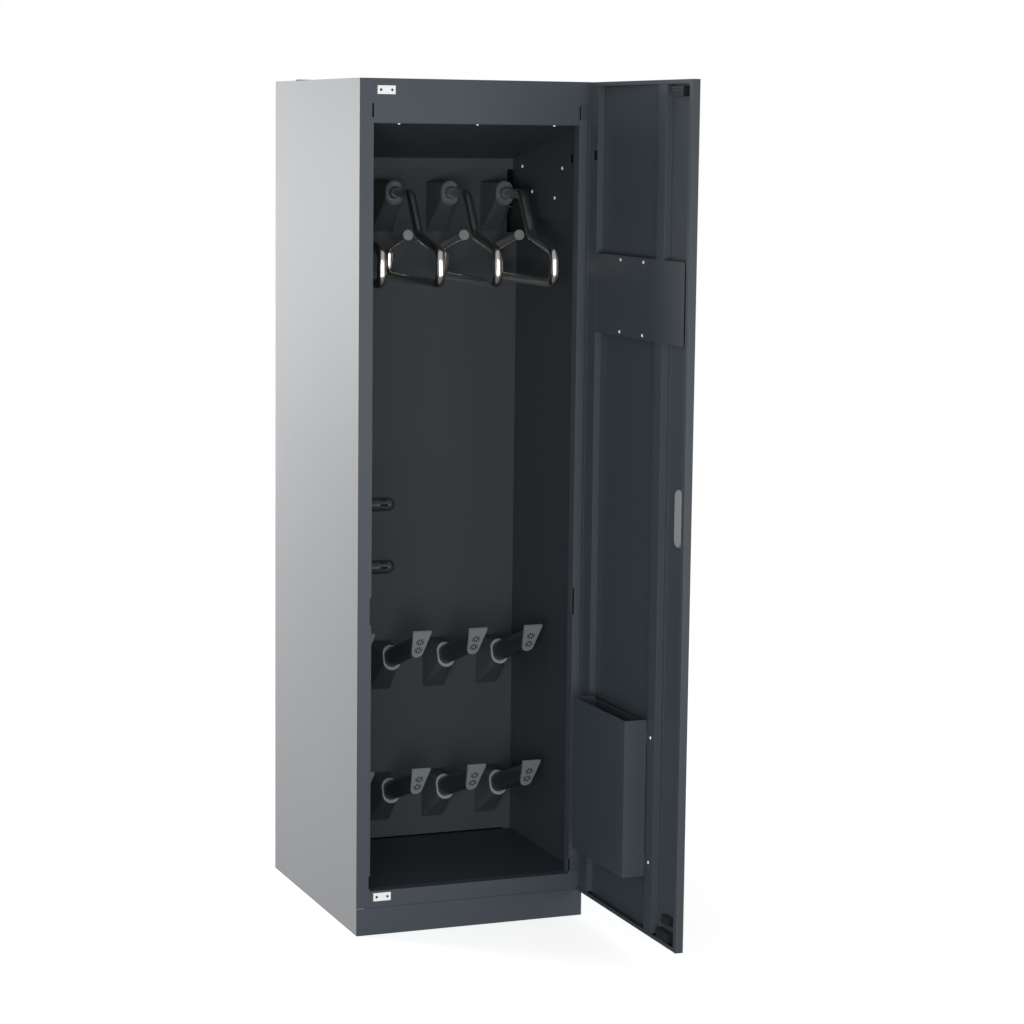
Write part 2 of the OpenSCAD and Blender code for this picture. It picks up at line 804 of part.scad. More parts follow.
module glove_nozzles() {
    wall = 2;
    flange_t = 3;
    color([0.2, 0.22, 0.24]) for (i = [0, 1])
        translate([left + sheet, front + glove_y, glove_z - i * glove_pitch]) rotate([0, 90, 0]) difference() {
            union() {
                cylinder(d = glove_dia + 20, h = flange_t);
                cylinder(d = glove_dia, h = glove_len - glove_dia / 2);
                translate([0, 0, glove_len - glove_dia / 2]) sphere(d = glove_dia);
            }
            translate([0, 0, -1]) cylinder(d = glove_dia - 2 * wall, h = glove_len - glove_dia / 2 + 1);
            for (a = [0 : 45 : 135])
                rotate([0, 0, a]) translate([0, 0, glove_len - 30])
                    cube([glove_dia + 4, 4, 18], center = true);
        }
}

// ---------- small fittings of the cabinet ----------

catch_plate_x = left + 41;
catch_plate_w = 42;
catch_plate_h = 19;
catch_plate_t = 1;
catch_plate_low = [sill - 5 - catch_plate_h, cab_h - 16 - catch_plate_h];
plate_screw_in = 8;

module catch_plates() {
    color(white) for (z = catch_plate_low)
        difference() {
            block(catch_plate_x, catch_plate_x + catch_plate_w, front - catch_plate_t, front,
                z, z + catch_plate_h);
            for (x = [plate_screw_in, catch_plate_w - plate_screw_in])
                translate([catch_plate_x + x, front + 1, z + catch_plate_h / 2])
                    rotate([90, 0, 0]) cylinder(r = 1.6, h = 4);
        }
}

module plate_screws() {
    color(zinc) for (z = catch_plate_low)
        for (x = [plate_screw_in, catch_plate_w - plate_screw_in])
            translate([catch_plate_x + x, front - catch_plate_t, z + catch_plate_h / 2])
                rotate([90, 0, 0]) cylinder(r1 = 3, r2 = 2.2, h = 0.8);
    // three screws that hold the front edge of the ceiling under the fascia
    color(zinc) for (x = [-cab_w / 3, 0, cab_w / 3])
        translate([x, front + 5, head - sheet - 1.6]) cylinder(r1 = 2, r2 = 3, h = 1.6);
}

module rivet(r, h) {
    rotate_extrude() polygon([[0, 0], [r, 0], [r * 0.9, h * 0.5], [r * 0.55, h * 0.9], [0, h]]);
}

module cabinet_rivets() {
    color(white) for (sx = [-1, 1])
        for (p = rivet_spots)
            translate([sx * cover_face, front + p[0], ceiling_back - p[1]])
                rotate([0, sx * -90, 0]) union() {
                    rivet(4, 1.6);
                    translate([0, 0, -sheet]) cylinder(r = 1.9, h = sheet + 0.2);
                }
}

// ---------- door ----------

module door_notches() {
    for (s = [0, 1]) {
        low = min(hinge_spans[s][0], frame_spans[s][0]) - 2;
        high = max(hinge_spans[s][1], frame_spans[s][1]) + 2;
        block(door_right - notch_w, door_right + 1, door_skin_in, door_inner + 1, low, high);
    }
}

module door_pan() {
    control_hole = [26, 16];
    color(dark) on_door() difference() {
        block(door_left, door_right, door_outer, door_inner, door_low, door_top);
        // hollow behind the returns, and the wide window that the returns leave
        block(door_left + sheet, door_right - sheet, door_skin_in, door_inner - sheet,
            door_low + sheet, door_top - sheet);
        block(door_left + latch_return, door_right - door_return, door_skin_in, door_inner + 1,
            door_low + door_return, door_top - door_return);
        door_notches();
        // holes for the handle cup, the knob's shaft and the button
        translate([handle_x, door_outer + 5, handle_z]) rotate([90, 0, 0])
            linear_extrude(10) stadium(cup_hole_w, cup_hole_len);
        translate([knob_x, door_outer + 5, control_z]) rotate([90, 0, 0])
            cylinder(d = control_hole[1], h = 10);
        translate([button_x, door_outer + 5, button_z]) rotate([90, 0, 0])
            cylinder(d = control_hole[0], h = 10);
    }
}

box_slot = [34, 19, 21];
box_slot_drop = 174;

module hinge_side_box() {
    far = door_right - hinge_box_w;
    foot = 14;
    color(dark) on_door() difference() {
        union() {
            block(far, door_right - sheet, stiff_face - sheet, stiff_face,
                door_low + door_return, door_top - door_return);
            block(far, far + sheet, door_skin_in, stiff_face, door_low + door_return,
                door_top - door_return);
            block(far, far + foot, door_skin_in, door_skin_in + sheet, door_low + door_return,
                door_top - door_return);
        }
        door_notches();
        // small slot beside the upper hinge
        block(door_right - box_slot[0] - box_slot[1], door_right - box_slot[0],
            stiff_face - 2 * sheet, stiff_face + 1,
            door_top - box_slot_drop, door_top - box_slot_drop + box_slot[2]);
    }
}

module latch_side_hat() {
    near = hat_near;
    far = hat_far;
    foot = hat_foot;
    low = door_low + door_return;
    high = door_top - door_return;
    color(dark) on_door() union() {
        block(far, near, stiff_face - sheet, stiff_face, low, high);
        for (x = [far, near - sheet])
            block(x, x + sheet, door_skin_in, stiff_face, low, high);
        block(far - foot, far + sheet, door_skin_in, door_skin_in + sheet, low, high);
        block(near - sheet, near + foot, door_skin_in, door_skin_in + sheet, low, high);
    }
}

module door_cover() {
    color(dark) on_door() difference() {
        block(door_left + cover_in, door_right - hinge_box_w - 3, stiff_face, door_inner,
            cover_z, cover_z + cover_h);
    }
}

pocket_tab = 31;

module door_pocket() {
    t = 1;
    near = door_right - pocket_at;
    far = hat_near + 2;
    low = pocket_z;
    high = pocket_z + pocket_h;
    color(dark) on_door() union() {
        // back plate that reaches over the box section at the hinge side
        block(far, door_right - door_return - 1, stiff_face, stiff_face + t, low, high - 6);
        block(far, near, stiff_face + bite, door_inner + pocket_d, low, low + t);
        block(far, near, door_inner + pocket_d - t, door_inner + pocket_d, low, high);
        for (x = [far, near - t])
            block(x, x + t, stiff_face + bite, door_inner + pocket_d, low, high);
        for (z = pocket_rivet_z)
            block(far - pocket_tab, far + t, stiff_face, stiff_face + t, z - 14, z + 14);
    }
}

pocket_rivet_z = [pocket_z + 37, pocket_z + pocket_h - 36];
cover_rivet_u = [197, 321];

module door_rivets() {
    color(white) on_door() union() {
        for (u = cover_rivet_u)
            for (z = [cover_z + 10, cover_z + cover_h - 10])
                translate([door_right - u, door_inner, z]) rotate([-90, 0, 0]) rivet(3.6, 1.5);
        for (z = pocket_rivet_z)
            translate([hat_far + hat_w / 2, stiff_face + 1, z]) rotate([-90, 0, 0])
                rivet(3.6, 1.5);
    }
}

catch_z = [[catch_plate_low[0] - 3, catch_plate_low[0] - 3 + catch_h],
    [catch_plate_low[1] - 1, catch_plate_low[1] - 1 + catch_h]];

stop_size = [37, 19];
stop_up = 15;
stop_back = 4;

module magnet_catches() {
    far = door_left + catch_in;
    near = far + catch_len;
    pole = [44, 5];
    // a small stop over the lower catch
    color(black) on_door() block(far + 2, far + 2 + stop_size[0], door_skin_in, door_inner - stop_back,
        catch_z[0][1] + stop_up, catch_z[0][1] + stop_up + stop_size[1]);
    color(black) on_door() for (z = catch_z)
        difference() {
            block(far, near, door_skin_in, door_inner - 0.5, z[0], z[1]);
            for (k = [-1, 1])
                translate([(near + far) / 2, door_inner, (z[0] + z[1]) / 2 + k * 4])
                    cube([pole[0], 3, pole[1] - 2], center = true);
        }
}

module handle_shell() {
    d = 11;
    wall = 1.6;
    step = 2;
    color(light) on_door() translate([handle_x, door_skin_in, handle_z]) rotate([-90, 0, 0]) difference() {
        union() {
            linear_extrude(d - step) stadium(shell_w, shell_len);
            translate([0, 0, d - step]) linear_extrude(step)
                stadium(shell_w - 2 * step, shell_len - 2 * step);
        }
        translate([0, 0, -1]) linear_extrude(d - step - 1 + 1)
            stadium(shell_w - 2 * wall, shell_len - 2 * wall);
        translate([0, 0, -1]) linear_extrude(d - wall + 1)
            stadium(shell_w - 2 * step - 2 * wall, shell_len - 2 * step - 2 * wall);
    }
}

// flush recessed pull: a plate on the door's outside with a collar through the skin
module pull_handle() {
    plate_t = 2;
    play = 0.6;
    mouth = [shell_w - 14, shell_len - 26];
    mouth_off = 3;
    color(light) on_door() translate([handle_x, door_outer, handle_z]) rotate([90, 0, 0]) difference() {
        union() {
            linear_extrude(plate_t) stadium(shell_w + 10, shell_len + 10);
            translate([0, 0, -sheet - 1]) linear_extrude(sheet + 2)
                stadium(cup_hole_w - play, cup_hole_len - play);
        }
        translate([mouth_off, 0, -10]) linear_extrude(20) stadium(mouth[0], mouth[1]);
    }
}

module control_bezel() {
    window = [90, 34];
    color(black) on_door() difference() {
        block(control_x - bezel_w / 2, control_x + bezel_w / 2, door_outer - control_plate_t, door_outer,
            control_z - bezel_h / 2, control_z + bezel_h / 2);
        translate([knob_x, door_outer + 1, control_z]) rotate([90, 0, 0])
            cylinder(r = knob_shaft + running, h = control_plate_t + 2);
        translate([button_x, door_outer + 1, button_z]) rotate([90, 0, 0])
            cylinder(r = button_dia / 2 + running, h = control_plate_t + 2);
        translate([control_x + 5, door_outer - control_plate_t, control_z + 22])
            cube([window[0], 2, window[1]], center = true);
    }
}

module timer_knob() {
    seat = 0.4;
    color(light) on_door() translate([knob_x, door_outer - control_plate_t, control_z])
        rotate([90, 0, 0]) difference() {
            union() {
                translate([0, 0, seat]) cylinder(d = knob_dia, h = 4);
                translate([0, 0, seat + 3]) cylinder(d = knob_dia - 8, h = knob_h - 3);
                translate([0, 0, -10]) cylinder(r = knob_shaft, h = 12);
            }
            // groove that shows where the knob points
            translate([-1, 4, seat + knob_h - 1]) cube([2, knob_dia / 2, 3]);
        }
}

module start_button() {
    proud = 3;
    inside = 9;
    color(light) on_door() translate([button_x, door_outer - control_plate_t, button_z])
        rotate([90, 0, 0]) union() {
            translate([0, 0, -inside]) cylinder(r = button_dia / 2, h = inside + proud);
            translate([0, 0, -inside - 1]) cylinder(r = button_dia / 2 + 2, h = 1);
        }
}

module control_module() {
    // sits behind the cover plate, on the inside of the door's skin
    shaft_room = 5;
    color([0.12, 0.3, 0.2]) on_door() difference() {
        block(hat_near + hat_foot + module_gap, button_x + module_rim,
            door_skin_in, door_skin_in + module_d,
            control_z - module_h / 2, control_z + module_h / 2);
        translate([knob_x, door_skin_in - 1, control_z]) rotate([-90, 0, 0])
            cylinder(r = shaft_room, h = 9);
        translate([button_x, door_skin_in - 1, button_z]) rotate([-90, 0, 0])
            cylinder(r = button_dia / 2 + 4, h = 11);
    }
}

// ---------- hinges ----------

module knuckle(z0, z1, fit) {
    translate([hinge_x, hinge_y, z0]) difference() {
        children();
        translate([0, 0, -1]) cylinder(r = pin_dia / 2 + fit, h = z1 - z0 + 2);
    }
}

module hinge_frame_leaves() {
    color(dark) for (s = frame_spans)
        knuckle(s[0], s[1], pin_fit) union() {
            cylinder(d = knuckle_dia, h = s[1] - s[0]);
            translate([-knuckle_dia / 2, 0, 0])
                cube([leaf_t - 0.6, axis_front - bite, s[1] - s[0]]);
            translate([-stile_w + axis_in + 2, axis_front - leaf_t, 0])
                cube([stile_w - axis_in - 2 - knuckle_dia / 2 + leaf_t - 0.6, leaf_t, s[1] - s[0]]);
        }
}

module hinge_door_leaves() {
    leaf_w = 40;
    drop = hinge_y - door_skin_in;
    color(dark) on_door() for (s = hinge_spans)
        knuckle(s[0], s[1], 0.02) union() {
            cylinder(d = knuckle_dia, h = s[1] - s[0]);
            translate([-leaf_w, -drop, 0]) cube([leaf_w, leaf_t, s[1] - s[0]]);
        }
}

module hinge_pins() {
    color(zinc) on_door() for (k = [0, 1]) {
        low = min(hinge_spans[k][0], frame_spans[k][0]) - 1;
        high = max(hinge_spans[k][1], frame_spans[k][1]) + 1;
        translate([hinge_x, hinge_y, low]) cylinder(d = pin_dia, h = high - low);
    }
}

// ---------- blower, heater and supply ----------

module plenum_shelf() {
    color(zinc) difference() {
        block(left + sheet, right - sheet, back_at + 3 * sheet, rear - 2 * sheet,
            shelf_z - sheet, shelf_z);
        block(drum_x - outlet_w / 2 + 3, drum_x + outlet_w / 2 - 3, drum_front + 3, drum_back - 3,
            shelf_z - 5, shelf_z + 5);
    }
}

module blower_housing() {
    inlet_r = 62;
    shaft_room = 14;
    color(zinc) difference() {
        union() {
            translate([drum_x, drum_back, drum_z]) rotate([90, 0, 0]) cylinder(r = drum_r, h = drum_w);
            block(drum_x - outlet_w / 2, drum_x + outlet_w / 2, drum_front, drum_back, shelf_z, drum_z);
        }
        translate([drum_x, drum_back - wall_t, drum_z]) rotate([90, 0, 0])
            cylinder(r = drum_r - wall_t, h = drum_w - 2 * wall_t);
        block(drum_x - outlet_w / 2 + wall_t, drum_x + outlet_w / 2 - wall_t, drum_front + wall_t,
            drum_back - wall_t, shelf_z - 1, drum_z);
        translate([drum_x, drum_front + 5, drum_z]) rotate([90, 0, 0]) cylinder(r = inlet_r, h = 10);
        translate([drum_x, drum_back + 5, drum_z]) rotate([90, 0, 0]) cylinder(r = shaft_room, h = 10);
    }
}

module impeller() {
    wheel_w = drum_w - 26;
    back = drum_back - wall_t - 6;
    plate_t = 2;
    color(black) translate([drum_x, back, drum_z]) rotate([90, 0, 0]) union() {
        cylinder(r = wheel_r, h = plate_t);
        cylinder(r = 16, h = 30);
        translate([0, 0, -36]) cylinder(d = shaft_dia, h = 37);
        for (k = [0 : blades - 1])
            rotate([0, 0, k * 360 / blades]) translate([wheel_r - 22, -0.75, plate_t - bite])
                cube([20, 1.5, wheel_w - plate_t]);
        translate([0, 0, wheel_w - 3]) difference() {
            cylinder(r = wheel_r, h = plate_t);
            translate([0, 0, -1]) cylinder(r = wheel_r - 22, h = plate_t + 2);
        }
    }
}

module fan_motor() {
    color(black) translate([drum_x, drum_back, drum_z]) rotate([-90, 0, 0]) difference() {
        union() {
            cylinder(d = motor_dia + 24, h = 3);
            cylinder(d = motor_dia, h = motor_len);
        }
        translate([0, 0, -1]) cylinder(d = shaft_dia + 2 * shaft_fit, h = 34);
    }
}

module heater_frame() {
    x = outlet_w / 2;
    color(zinc) difference() {
        union() {
            block(drum_x - x, drum_x + x, drum_front, drum_back, shelf_z - sheet - heater_h, shelf_z - sheet);
            block(drum_x - x - 10, drum_x + x + 10, drum_front - 8, drum_back + 8,
                shelf_z - 2 * sheet, shelf_z - sheet);
        }
        block(drum_x - x + wall_t, drum_x + x - wall_t, drum_front + wall_t, drum_back - wall_t,
            shelf_z - sheet - heater_h - 1, shelf_z);
        for (y = rod_y)
            translate([drum_x - x - 1, y, rod_z]) rotate([0, 90, 0]) cylinder(r = rod_r + 0.1, h = 2 * x + 2);
    }
}

rod_r = 4;
rod_z = shelf_z - heater_h / 2;
rod_y = [for (k = [-1 : 1]) (drum_front + drum_back) / 2 + k * 22];

module heater_rods() {
    x = outlet_w / 2;
    fins = 12;
    color([0.45, 0.42, 0.4]) for (y = rod_y)
        translate([drum_x - x - 6, y, rod_z]) rotate([0, 90, 0]) union() {
            cylinder(r = rod_r, h = 2 * x + 12);
            for (k = [1 : fins])
                translate([0, 0, 6 + k * 2 * x / (fins + 1)]) cylinder(r = 9, h = 1);
        }
}

module air_filter() {
    t = 12;
    rim = 8;
    ribs = 6;
    rib_step = (intake_x[1] - intake_x[0] - 2 * rim) / ribs;
    rib_gap = 0.8 * rib_step;
    color([0.85, 0.86, 0.84]) difference() {
        block(intake_x[0], intake_x[1], intake_y[0], intake_y[1], roof_under - t, roof_under);
        for (i = [0 : ribs - 1])
            block(intake_x[0] + rim + i * rib_step, intake_x[0] + rim + i * rib_step + rib_gap,
                intake_y[0] + rim, intake_y[1] - rim, roof_under - t - 1, roof_under - t / 3);
    }
}

module power_inlet() {
    h = 5;
    color(black) difference() {
        union() {
            block(inlet_at[0] - inlet_size[0] / 2, inlet_at[0] + inlet_size[0] / 2,
                inlet_at[1] - inlet_size[1] / 2, inlet_at[1] + inlet_size[1] / 2, cab_h, cab_h + h);
            block(inlet_at[0] - inlet_size[0] / 2 + 4, inlet_at[0] + inlet_size[0] / 2 - 4,
                inlet_at[1] - inlet_size[1] / 2 + 4, inlet_at[1] + inlet_size[1] / 2 - 4,
                roof_under - 22, cab_h + 1);
        }
        block(inlet_at[0] - inlet_size[0] / 2 + 6, inlet_at[0] + inlet_size[0] / 2 - 6,
            inlet_at[1] - inlet_size[1] / 2 + 6, inlet_at[1] + inlet_size[1] / 2 - 6,
            cab_h - 12, cab_h + h + 1);
        for (k = [-1 : 1])
            translate([inlet_at[0] + k * 6, inlet_at[1], cab_h - 16]) cylinder(r = 1, h = 6);
    }
}

module cable_gland() {
    color(light) translate([gland_at[0], gland_at[1], 0]) difference() {
        union() {
            translate([0, 0, cab_h]) cylinder(d = 15, h = 4, $fn = 6);
            translate([0, 0, roof_under - 8]) cylinder(r = gland_hole_r - 0.1, h = sheet + 9);
        }
        translate([0, 0, roof_under - 9]) cylinder(r = 3, h = 30);
    }
}

side_panel_left();
side_panel_right();
rear_panel();
roof_panel();
floor_tray();
base_brace();
plinth();
stile_left();
stile_right();
fascia();
bottom_rail();
ceiling_panel();
cover_plate_left();
cover_plate_right();
back_ledge();
duct_panel();
back_panel();
hanger_ducts();
hanger_bezels();
hanger_1();
hanger_2();
hanger_3();
hanger_4();
hanger_cap_1();
hanger_cap_2();
hanger_cap_3();
hanger_cap_4();
shoe_ducts();
shoe_rings();
shoe_tubes();
heel_plates();
glove_nozzles();
catch_plates();
plate_screws();
cabinet_rivets();
door_pan();
hinge_side_box();
latch_side_hat();
door_cover();
door_pocket();
magnet_catches();
handle_shell();
pull_handle();
control_bezel();
timer_knob();
start_button();
control_module();
door_rivets();
hinge_frame_leaves();
hinge_door_leaves();
hinge_pins();
plenum_shelf();
blower_housing();
impeller();
fan_motor();
heater_frame();
heater_rods();
air_filter();
power_inlet();
cable_gland();
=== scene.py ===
# %% [markdown]
# # A drying cabinet with its door open
# A tall sheet-steel cabinet stands with its door swung open to the front. Warm air is
# blown through glossy hanger tubes under the ceiling and through slanted tubes with heel
# plates for boots. The exact solids come from the CAD model; this script gives them
# rounded edges, better shapes where the eye rests, and their finishes.

# %% Load the exact solids
import json
import math

import bmesh
import bpy
from mathutils import Matrix, Vector

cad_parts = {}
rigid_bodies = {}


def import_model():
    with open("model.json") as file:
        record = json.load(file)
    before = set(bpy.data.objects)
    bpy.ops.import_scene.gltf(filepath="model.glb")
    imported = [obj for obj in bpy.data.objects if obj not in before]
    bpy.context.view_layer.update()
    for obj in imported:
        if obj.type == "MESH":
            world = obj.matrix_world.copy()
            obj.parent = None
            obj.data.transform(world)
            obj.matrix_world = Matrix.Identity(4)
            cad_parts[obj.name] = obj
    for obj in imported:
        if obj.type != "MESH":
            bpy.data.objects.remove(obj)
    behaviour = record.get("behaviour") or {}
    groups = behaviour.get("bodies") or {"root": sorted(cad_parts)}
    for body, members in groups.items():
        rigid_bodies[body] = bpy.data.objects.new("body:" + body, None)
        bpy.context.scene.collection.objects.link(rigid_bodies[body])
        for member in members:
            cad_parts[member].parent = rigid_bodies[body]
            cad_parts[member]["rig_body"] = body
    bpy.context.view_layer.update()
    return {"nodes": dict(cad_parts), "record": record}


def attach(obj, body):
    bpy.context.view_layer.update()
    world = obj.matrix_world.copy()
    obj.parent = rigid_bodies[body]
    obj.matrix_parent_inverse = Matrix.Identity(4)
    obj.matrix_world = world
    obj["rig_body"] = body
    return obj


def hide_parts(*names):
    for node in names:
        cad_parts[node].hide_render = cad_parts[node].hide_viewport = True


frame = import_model()
nodes = frame["nodes"]
body_of_node = {n: o["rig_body"] for n, o in nodes.items()}
slot_of_node = {s["node"]: s["material_slot"] for s in frame["record"]["subparts"]}

# %% [markdown]
# ## The cabinet's own sizes
# The same named sizes as in the CAD source, in metres, so that each new piece lies
# exactly where its solid lies. Millimetres are easier to read, so they are turned here.

# %% Sizes
MM = 0.001
RIGHT = 280 * MM
FRONT, REAR = -322.5 * MM, 322.5 * MM
BACK = FRONT + 462 * MM
COLUMNS = [-210 * MM, -70 * MM, 70 * MM, 210 * MM]
HANGER_Z = 1690 * MM
ROWS = [571 * MM, 242 * MM]
HANGER_DUCT_D, SHOE_DUCT_D, BEZEL_T = 88 * MM, 86 * MM, 6 * MM
SKIN_MARGIN = 0.6 * MM
print("columns at", COLUMNS)

# %% [markdown]
# ## Camera
# The photograph looks at the cabinet from the front left, from about eye height, with
# a long lens. The camera's place and turn were solved from the cabinet's corners.

# %% Camera
YAW, PITCH, ROLL = (math.radians(a) for a in (21.5795, 7.6303, 0.6807))
CAMERA_AT = (-2.25796, -6.26527, 1.82558)
ahead = Vector((math.sin(YAW) * math.cos(PITCH), math.cos(YAW) * math.cos(PITCH),
                -math.sin(PITCH)))
level_right = Vector((math.cos(YAW), -math.sin(YAW), 0))
level_up = level_right.cross(ahead)
cam_right = math.cos(ROLL) * level_right + math.sin(ROLL) * level_up
cam_up = -math.sin(ROLL) * level_right + math.cos(ROLL) * level_up
camera_data = bpy.data.cameras.new("camera")
camera_data.sensor_width = 36
camera_data.lens = 98.587
camera_data.clip_end = 60
camera = bpy.data.objects.new("camera", camera_data)
bpy.context.scene.collection.objects.link(camera)
turn = Matrix((cam_right, cam_up, -ahead)).transposed().to_4x4()
camera.matrix_world = Matrix.Translation(CAMERA_AT) @ turn
bpy.context.scene.camera = camera
bpy.context.scene.view_settings.view_transform = "Standard"
print("camera at", tuple(camera.location))

# %% [markdown]
# ## Light
# A studio picture has large, soft lights. One lamp stands at the back left, at the height
# of the cabinet's top. It lights the pale side, less and less towards the floor, and the
# cabinet keeps it off the open door. Two more lamps stand in front, left and right: the
# open door shades the right part of the frame from the right one. The even sky fills the
# rest. It is seen as plain white, but it lights the object with less than that.

# %% World and lamps
world = bpy.data.worlds.new("studio")
bpy.context.scene.world = world
world.use_nodes = True
wt = world.node_tree
wt.nodes.clear()
sky_out = wt.nodes.new("ShaderNodeOutputWorld")
sky_light = wt.nodes.new("ShaderNodeBackground")
sky_seen = wt.nodes.new("ShaderNodeBackground")
sky_mix = wt.nodes.new("ShaderNodeMixShader")
sky_rays = wt.nodes.new("ShaderNodeLightPath")
sky_light.inputs["Color"].default_value = (0.95, 0.97, 1.0, 1)
sky_light.inputs["Strength"].default_value = 0.40
sky_seen.inputs["Color"].default_value = (1, 1, 1, 1)
sky_seen.inputs["Strength"].default_value = 1.0
wt.links.new(sky_rays.outputs["Is Camera Ray"], sky_mix.inputs["Fac"])
wt.links.new(sky_light.outputs[0], sky_mix.inputs[1])
wt.links.new(sky_seen.outputs[0], sky_mix.inputs[2])
wt.links.new(sky_mix.outputs[0], sky_out.inputs["Surface"])


def soft_lamp(name, place, aim, size, watts):
    """A large square lamp at a place, turned towards a point."""
    lamp = bpy.data.lights.new(name, "AREA")
    lamp.shape = "RECTANGLE"
    lamp.size, lamp.size_y = size
    lamp.energy = watts
    holder = bpy.data.objects.new(name, lamp)
    bpy.context.scene.collection.objects.link(holder)
    holder.location = place
    holder.rotation_mode = "QUATERNION"
    holder.rotation_quaternion = (Vector(aim) - Vector(place)).to_track_quat("-Z", "Y")


soft_lamp("lamp_left", (-1.75, 1.3, 1.6), (-0.28, 0, 1.2), (1.0, 1.0), 28)
soft_lamp("lamp_front", (-2.3, -5.4, 0.45), (0, 0, 0.45), (3.0, 2.4), 188)
soft_lamp("lamp_right", (1.6, -5.4, 0.4), (-0.1, -0.3, 0.4), (2.0, 2.0), 38)

# %% [markdown]
# ## Floor
# The floor is plain and pale. For the camera it glows a little under its own shading, so
# that it meets the white background and still keeps the cabinet's soft shadow. It throws
# less light back up than it shows, so that the cabinet's foot stays calm.

# %% Floor
floor_mesh = bpy.data.meshes.new("studio_floor")
bm = bmesh.new()
bmesh.ops.create_grid(bm, x_segments=1, y_segments=1, size=14)
bm.to_mesh(floor_mesh)
bm.free()
floor = bpy.data.objects.new("studio_floor", floor_mesh)
bpy.context.scene.collection.objects.link(floor)
floor_finish = bpy.data.materials.new("studio_floor")
floor_finish.use_nodes = True
ft = floor_finish.node_tree
ft.nodes.clear()
f_out = ft.nodes.new("ShaderNodeOutputMaterial")
f_plain = ft.nodes.new("ShaderNodeBsdfDiffuse")
f_plain.inputs["Color"].default_value = (0.8, 0.8, 0.8, 1)
f_dim = ft.nodes.new("ShaderNodeBsdfDiffuse")
f_dim.inputs["Color"].default_value = (0.26, 0.26, 0.26, 1)
f_glow = ft.nodes.new("ShaderNodeEmission")
f_glow.inputs["Strength"].default_value = 0.72
f_add = ft.nodes.new("ShaderNodeAddShader")
f_mix = ft.nodes.new("ShaderNodeMixShader")
f_rays = ft.nodes.new("ShaderNodeLightPath")
ft.links.new(f_plain.outputs[0], f_add.inputs[0])
ft.links.new(f_glow.outputs[0], f_add.inputs[1])
ft.links.new(f_rays.outputs["Is Camera Ray"], f_mix.inputs["Fac"])
ft.links.new(f_dim.outputs[0], f_mix.inputs[1])
ft.links.new(f_add.outputs[0], f_mix.inputs[2])
ft.links.new(f_mix.outputs[0], f_out.inputs["Surface"])
floor_mesh.materials.append(floor_finish)
print("floor is", floor.dimensions.x, "m wide")

# %% [markdown]
# ## Powder coat
# Powder coat is paint baked from a fine dust. Close up it has a faint orange peel, and
# its gloss changes a little from place to place. One node group makes that pattern for
# every painted piece: a little change of colour, of roughness, and a height for bump.

# %% A shared pattern for painted and moulded surfaces


def shared_group(name, inputs, outputs):
    """An empty node group with named float inputs and outputs."""
    group = bpy.data.node_groups.new(name, "ShaderNodeTree")
    for label, kind, value in inputs:
        socket = group.interface.new_socket(name=label, in_out="INPUT", socket_type=kind)
        socket.default_value = value
    for label, kind in outputs:
        group.interface.new_socket(name=label, in_out="OUTPUT", socket_type=kind)
    start = group.nodes.new("NodeGroupInput")
    end = group.nodes.new("NodeGroupOutput")
    return group, start, end


def make_peel_group():
    """Colour, roughness and height of a coat with a fine peel and broad, faint cloudiness."""
    group, start, end = shared_group(
        "coat_peel",
        [("Color", "NodeSocketColor", (0.5, 0.5, 0.5, 1)), ("Peel Scale", "NodeSocketFloat", 900.0),
         ("Cloud", "NodeSocketFloat", 0.05), ("Roughness", "NodeSocketFloat", 0.45),
         ("Roughness Change", "NodeSocketFloat", 0.06)],
        [("Color", "NodeSocketColor"), ("Roughness", "NodeSocketFloat"),
         ("Height", "NodeSocketFloat")])
    place = group.nodes.new("ShaderNodeTexCoord")
    peel = group.nodes.new("ShaderNodeTexNoise")
    peel.inputs["Detail"].default_value = 3.0
    group.links.new(place.outputs["Object"], peel.inputs["Vector"])
    group.links.new(start.outputs["Peel Scale"], peel.inputs["Scale"])
    cloud = group.nodes.new("ShaderNodeTexNoise")
    cloud.inputs["Scale"].default_value = 3.5
    cloud.inputs["Detail"].default_value = 4.0
    group.links.new(place.outputs["Object"], cloud.inputs["Vector"])
    shift = group.nodes.new("ShaderNodeMath")
    shift.operation = "SUBTRACT"
    shift.inputs[1].default_value = 0.5
    group.links.new(cloud.outputs["Fac"], shift.inputs[0])
    tone = group.nodes.new("ShaderNodeMath")
    tone.operation = "MULTIPLY_ADD"
    tone.inputs[2].default_value = 1.0
    group.links.new(shift.outputs[0], tone.inputs[0])
    group.links.new(start.outputs["Cloud"], tone.inputs[1])
    tint = group.nodes.new("ShaderNodeVectorMath")
    tint.operation = "SCALE"
    group.links.new(start.outputs["Color"], tint.inputs[0])
    group.links.new(tone.outputs[0], tint.inputs["Scale"])
    group.links.new(tint.outputs[0], end.inputs["Color"])
    rough = group.nodes.new("ShaderNodeMath")
    rough.operation = "MULTIPLY_ADD"
    group.links.new(shift.outputs[0], rough.inputs[0])
    group.links.new(start.outputs["Roughness Change"], rough.inputs[1])
    group.links.new(start.outputs["Roughness"], rough.inputs[2])
    group.links.new(rough.outputs[0], end.inputs["Roughness"])
    group.links.new(peel.outputs["Fac"], end.inputs["Height"])
    return group


COAT_PEEL = make_peel_group()
print("group", COAT_PEEL.name, "with", len(COAT_PEEL.nodes), "nodes")

# %% [markdown]
# ## Finishes
# Every finish uses the Principled shader. Painted steel is a plastic-like coat over
# metal, so it is not metallic; plated screws are. Numbers that are the same all over
# a surface are set on the shader itself.

# %% A helper for finishes


